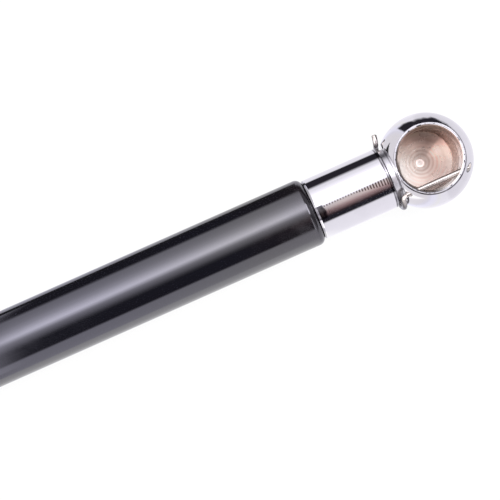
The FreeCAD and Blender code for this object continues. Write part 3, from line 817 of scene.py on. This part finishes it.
def arcPoints(centre, radius, start, end, chords):
    # degrees from the along direction towards the radius direction
    made = []
    for step in range(chords + 1):
        angle = math.radians(start + (end - start) * step / chords)
        made.append((centre[0] + radius * math.cos(angle), centre[1] + radius * math.sin(angle)))
    return made


def steadyOutline(points, closed, longRun=0.5, near=0.04):
    # a point close to each end of a long run keeps its shading straight
    made = []
    count = len(points) if closed else len(points) - 1
    for index in range(count):
        here, ahead = Vector(points[index]), Vector(points[(index + 1) % len(points)])
        made.append(tuple(here))
        length = (ahead - here).length
        if length > longRun:
            made.append(tuple(here.lerp(ahead, near / length)))
            made.append(tuple(ahead.lerp(here, near / length)))
    if not closed:
        made.append(tuple(points[-1]))
    return made


def lathe(mesh, outline, sides, upright=False, closed=False):
    # turns an outline about X, or about Z where upright, into the bmesh given
    rings = []
    for along, radius in steadyOutline(outline, closed):
        count = 1 if radius < 1e-6 else sides
        ring = []
        for step in range(count):
            angle = 2 * math.pi * step / sides
            a, b = radius * math.cos(angle), radius * math.sin(angle)
            place = (a, b, along) if upright else (along, a, b)
            ring.append(mesh.verts.new(Vector(place) * mm))
        rings.append(ring)
    pairs = list(zip(rings, rings[1:]))
    if closed:
        pairs.append((rings[-1], rings[0]))
    for first, second in pairs:
        for step in range(sides):
            corners = [first[step % len(first)], first[(step + 1) % sides % len(first)],
                       second[(step + 1) % sides % len(second)], second[step % len(second)]]
            unique = list(dict.fromkeys(corners))
            if len(unique) > 2:
                mesh.faces.new(unique)


def finishMesh(name, made, materials, sharpAngle=32):
    bmesh.ops.recalc_face_normals(made, faces=made.faces)
    mesh = bpy.data.meshes.new(name)
    made.to_mesh(mesh)
    made.free()
    for material in materials:
        mesh.materials.append(material)
    mesh.shade_smooth()
    mesh.set_sharp_from_angle(angle=math.radians(sharpAngle))
    piece = bpy.data.objects.new(name, mesh)
    scene.collection.objects.link(piece)
    return piece


def settle(piece, body, node):
    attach(piece, body)
    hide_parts(node)


# Tube with its rolled ends and the bead that stops the guide
tube = {
    "start": 26.4, "end": 256.4, "outside": 7.5, "wall": 1.0, "rollRadius": 1.6, "rollMouth": 5.2,
    "lipRound": 0.3, "beadAt": 239.0, "beadHalf": 1.4, "beadDepth": 0.5, "beadChords": 12,
    "between": (60, 130),  # rings that divide the long run, counted from the start
    "sides": 192,
}


def buildTube(settings):
    start, end, outside, wall = (settings[k] for k in ("start", "end", "outside", "wall"))
    roll, mouth, lip = settings["rollRadius"], settings["rollMouth"], settings["lipRound"]
    bore = outside - wall

    def bead(level):
        half, depth = settings["beadHalf"], settings["beadDepth"]
        chords = settings["beadChords"]
        radius = (half * half + depth * depth) / (2 * depth)
        made = []
        for step in range(chords + 1):
            offset = -half + 2 * half * step / chords
            rise = radius - math.sqrt(radius * radius - offset * offset)
            made.append((settings["beadAt"] + offset, level - depth + rise))
        return made

    corner = outside - roll
    outline = [(start + wall, mouth), (start + lip, mouth)]
    outline += arcPoints((start + lip, mouth + lip), lip, 270, 180, 5)[1:]
    outline += arcPoints((start + roll, corner), roll, 180, 90, 16)
    outline += [(start + along, outside) for along in settings["between"]]
    outline += bead(outside)
    outline += arcPoints((end - roll, corner), roll, 90, 0, 16)
    outline += arcPoints((end - lip, mouth + lip), lip, 0, -90, 5)
    outline += [(end - wall, mouth)]
    inner = roll - wall
    outline += arcPoints((end - roll, corner), inner, 0, 90, 8)
    outline += list(reversed(bead(bore)))
    outline += arcPoints((start + roll, corner), inner, 90, 180, 8)
    made = bmesh.new()
    lathe(made, outline, settings["sides"], closed=True)
    piece = finishMesh("tube_enamelled", made, [blackEnamel])
    settle(piece, "barrel", "pressure_tube")


buildTube(tube)
print("tube built")

# Rod: ground outside, journal and bevels inside
rod = {"radius": 3.0, "journal": 2.2, "bevel": 0.4, "between": (60, 120), "sides": 96}


def buildRod(settings):
    low, high = (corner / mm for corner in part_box("piston_rod"))
    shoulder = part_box("piston_washer")[1].x / mm
    radius, journal, bevel = settings["radius"], settings["journal"], settings["bevel"]
    outline = filletOutline([
        (low.x, 0), (low.x, journal - 0.01), (low.x, journal, 0.3), (shoulder, journal, 0.1),
        (shoulder, radius, 0.1), *((shoulder + along, radius) for along in settings["between"]),
        (high.x - bevel, radius, 0.1), (high.x, radius - bevel, 0.1), (high.x, 0),
    ])
    made = bmesh.new()
    lathe(made, outline, settings["sides"])
    piece = finishMesh("rod_ground", made, [groundRod])
    settle(piece, "rod", "piston_rod")


buildRod(rod)
print("rod built")

# Safety clip: a straight leg through the head, a bend, a bow round the neck and an ear
clip = {
    "wireRadius": 0.55, "bowRadius": 7.4, "bendRadius": 1.2, "legHeight": 5.5, "bowPlane": 8.25,
    "headRadius": 10.3, "bowEnd": 168.0, "earLength": 0.85, "earLean": 13.0,
    "legChords": 10, "bendChords": 12, "bowChords": 72, "cutRound": 0.12, "cutChords": 4, "sides": 28,
}

# Ball socket: a round head with a turned seat across it and a shank with a neck groove
socket = {
    "headRadius": 10.3, "seatRadius": 6.55, "mouthRadius": 6.9, "mouthHeight": 7.0, "mouthBevel": 0.25,
    "seatTop": 4.6, "relief": 0.35, "coneSlope": 0.6, "pipRadius": 1.0, "pipDepth": 0.6, "edgeRound": 0.12,
    "rimGroove": 0.05, "shankRadius": 6.75, "shankBevel": 0.5, "bevelDepth": 0.12, "reach": 26.4,
    "neckStart": 7.43, "neckEnd": 9.07, "neckDepth": 0.75, "threadDepth": 14.0, "legHole": 0.65,
    # what is cut off the sphere for the shank, and half the length of the leg's hole
    "shankCut": {"radius": 9, "length": 6}, "legCut": 14, "shellChords": 80, "sides": 192,
    # radius of each thread hole, and the length from ball to ball
    "threadHoles": {"tube_socket": 4.1, "rod_socket": 3.1}, "betweenBalls": 468.8,
}


def legSide():
    # how far the clip's leg lies from the middle of the mouth
    return math.sqrt(clip["bowRadius"] ** 2 + clip["bendRadius"] ** 2 - clip["legHeight"] ** 2)


def cutAway(piece, start, end, radius, place, sides=96):
    # takes a bar along X off the piece, and leaves the result as its mesh
    made = bmesh.new()
    lathe(made, [(start, 0), (start, radius), (end, radius), (end, 0)], sides)
    tool = finishMesh("tool", made, [chromePlate])
    tool.location = Vector(place) * mm
    cut = piece.modifiers.new("cut", "BOOLEAN")
    cut.object = tool
    cut.solver = "EXACT"
    bpy.context.view_layer.update()
    result = bpy.data.meshes.new_from_object(piece.evaluated_get(bpy.context.evaluated_depsgraph_get()))
    piece.modifiers.clear()
    piece.data = result
    bpy.data.objects.remove(tool)


def buildHead(name, settings):
    head, seatRadius, mouth = settings["headRadius"], settings["seatRadius"], settings["mouthRadius"]
    top, bevel, edge = settings["mouthHeight"], settings["mouthBevel"], settings["edgeRound"]
    apex = -seatRadius * math.sqrt(1 + settings["coneSlope"] ** 2)
    coneTop = apex + seatRadius * settings["coneSlope"]
    pipTop = apex + settings["pipRadius"] * settings["coneSlope"]
    rim = math.sqrt(head * head - top * top)
    groove = settings["rimGroove"]
    last = math.degrees(math.atan2(top - groove * 1.6, rim + groove * 1.4))
    shell = [(-head, 0)] + arcPoints((0, 0), head, 180, 90 - last, settings["shellChords"])[1:]
    well = filletOutline([
        shell[-1], (top - groove * 2, rim + groove * 0.4), (top - groove * 0.5, rim),
        (top, rim - groove * 0.6, 0.04), (top, mouth + bevel, edge), (top - bevel, mouth, 0.08),
        (settings["seatTop"] + settings["relief"], mouth, 0.06), (settings["seatTop"], seatRadius, 0.08),
        (coneTop, seatRadius, 0.25), (pipTop, settings["pipRadius"], 0.08),
        (pipTop - settings["pipDepth"], settings["pipRadius"], 0.1), (pipTop - settings["pipDepth"], 0),
    ], 4)
    made = bmesh.new()
    lathe(made, shell + well[1:], settings["sides"], upright=True)
    piece = finishMesh(name, made, [chromePlate, turnedSeat])
    start, forShank, forLeg = settings["neckStart"], settings["shankCut"], settings["legCut"]
    cutAway(piece, 0, forShank["length"], forShank["radius"], (start, 0, 0))
    cutAway(piece, -forLeg, forLeg, settings["legHole"], (0, legSide(), clip["legHeight"]))
    keepRound(piece.data, head, start)
    return piece


def buildShank(name, threadHole, settings):
    start, end = settings["neckStart"], settings["neckEnd"]
    shank, reach = settings["shankRadius"], settings["reach"]
    neck = shank - settings["neckDepth"]
    holeStart = reach - settings["threadDepth"]
    outline = filletOutline([
        (start - 0.2, 0), (start - 0.2, neck), (start, neck), (start + 0.02, neck), (end, neck, 0.2),
        (end, shank, 0.12), (reach - settings["shankBevel"], shank, 0.3),
        (reach, shank - settings["bevelDepth"], 0.08), (reach, threadHole), (holeStart, threadHole),
        (holeStart - threadHole * 0.6, 0),
    ], 5)
    made = bmesh.new()
    lathe(made, outline, settings["sides"])
    return finishMesh(name, made, [chromePlate])


def keepRound(mesh, radius, neckStart, skin=0.35, cutGap=0.02, closeTo=0.002):
    # the sphere keeps its own normals where it has been cut, and the faces of the well get their finish
    normals = []
    for face in mesh.polygons:
        middle = face.center / mm
        face.material_index = int(middle.length < radius - skin and middle.x < neckStart - cutGap)
        corners = [mesh.vertices[i].co for i in face.vertices]
        onSphere = all(abs(corner.length / mm - radius) < closeTo for corner in corners)
        normals += [corner.normalized() if onSphere else Vector((0, 0, 0)) for corner in corners]
    mesh.normals_split_custom_set(normals)


def placeSocket(node, body, place):
    head = buildHead(node + "_head", socket)
    shank = buildShank(node + "_shank", socket["threadHoles"][node], socket)
    for piece in (head, shank):
        piece.matrix_world = place
        settle(piece, body, node)


atTube = Matrix.Identity(4)
atRod = Matrix.Translation((socket["betweenBalls"] * mm, 0, 0)) @ Matrix.Rotation(math.pi, 4, "Z")
placeSocket("tube_socket", "barrel", atTube)
placeSocket("rod_socket", "rod", atRod)
print("sockets built")


def shares(chords):
    # of the way, at each chord's end
    return [step / chords for step in range(1, chords + 1)]


def clipPath(settings):
    bow, bend, height = settings["bowRadius"], settings["bendRadius"], settings["legHeight"]
    along = Vector((1, 0, 0))
    plane = Vector((settings["bowPlane"], 0, 0))

    def outward(angle):
        return Vector((0, math.cos(angle), math.sin(angle)))

    def forward(angle):
        return Vector((0, math.sin(angle), -math.cos(angle)))

    def bent(start, ahead, aside):
        # a quarter turn from ahead to aside
        angles = [math.pi / 2 * share for share in shares(settings["bendChords"])]
        return [start + ahead * bend * math.sin(a) + aside * bend * (1 - math.cos(a)) for a in angles]

    # where the bow starts and ends, round the strut
    first = math.atan2(height, legSide()) - math.atan2(bend, bow)
    last = -math.radians(settings["bowEnd"])
    legEnd = plane + outward(first) * bow - forward(first) * bend - along * bend
    tipX = -math.sqrt(settings["headRadius"] ** 2 - bow ** 2 - bend ** 2)
    legTip = Vector((tipX, legEnd.y, legEnd.z))
    path = [legTip.lerp(legEnd, share) for share in (0, *shares(settings["legChords"]))]
    path += bent(legEnd, along, forward(first))
    path += [plane + outward(first + (last - first) * share) * bow for share in shares(settings["bowChords"])]
    lean = math.radians(settings["earLean"])
    earWay = outward(last) * math.cos(lean) - along * math.sin(lean)
    path += bent(path[-1], forward(last), earWay)
    path.append(path[-1] + earWay * settings["earLength"])
    return path


def sweepWire(name, path, settings):
    # rings square to the path, carried along it without twist, and ends cut flat with a small round
    radius, cutRound, sides = settings["wireRadius"], settings["cutRound"], settings["sides"]
    steps = []
    for index, point in enumerate(path):
        ahead = path[min(index + 1, len(path) - 1)] - path[max(index - 1, 0)]
        steps.append((point, ahead.normalized()))
    side = steps[0][1].orthogonal().normalized()
    rings = []
    for place, ahead in steps:
        side = (side - ahead * side.dot(ahead)).normalized()
        rings.append((place, side.copy(), ahead.cross(side), ahead))
    first, last = rings[0], rings[-1]
    profile = arcPoints((cutRound, radius - cutRound), cutRound, 180, 90, settings["cutChords"])
    stations = [(first, depth, size) for depth, size in profile]
    stations += [(ring, 0, radius) for ring in rings[1:-1]]
    stations += [(last, -depth, size) for depth, size in reversed(profile)]
    made = bmesh.new()
    loops = []
    for (place, side, other, ahead), shift, size in stations:
        centre = place + ahead * shift
        loop = []
        for k in range(sides):
            angle = 2 * math.pi * k / sides
            arm = side * math.cos(angle) + other * math.sin(angle)
            loop.append(made.verts.new((centre + arm * size) * mm))
        loops.append(loop)
    for one, two in zip(loops, loops[1:]):
        for k in range(sides):
            made.faces.new((one[k], one[(k + 1) % sides], two[(k + 1) % sides], two[k]))
    made.faces.new(loops[0])
    made.faces.new(loops[-1])
    return finishMesh(name, made, [springWire], 50)


def placeClip(node, place):
    # each clip is a body of its own
    piece = sweepWire(node + "_wire", clipPath(clip), clip)
    piece.matrix_world = place
    settle(piece, node, node)


placeClip("tube_clip", atTube)
placeClip("rod_clip", atRod)
print("clips built")
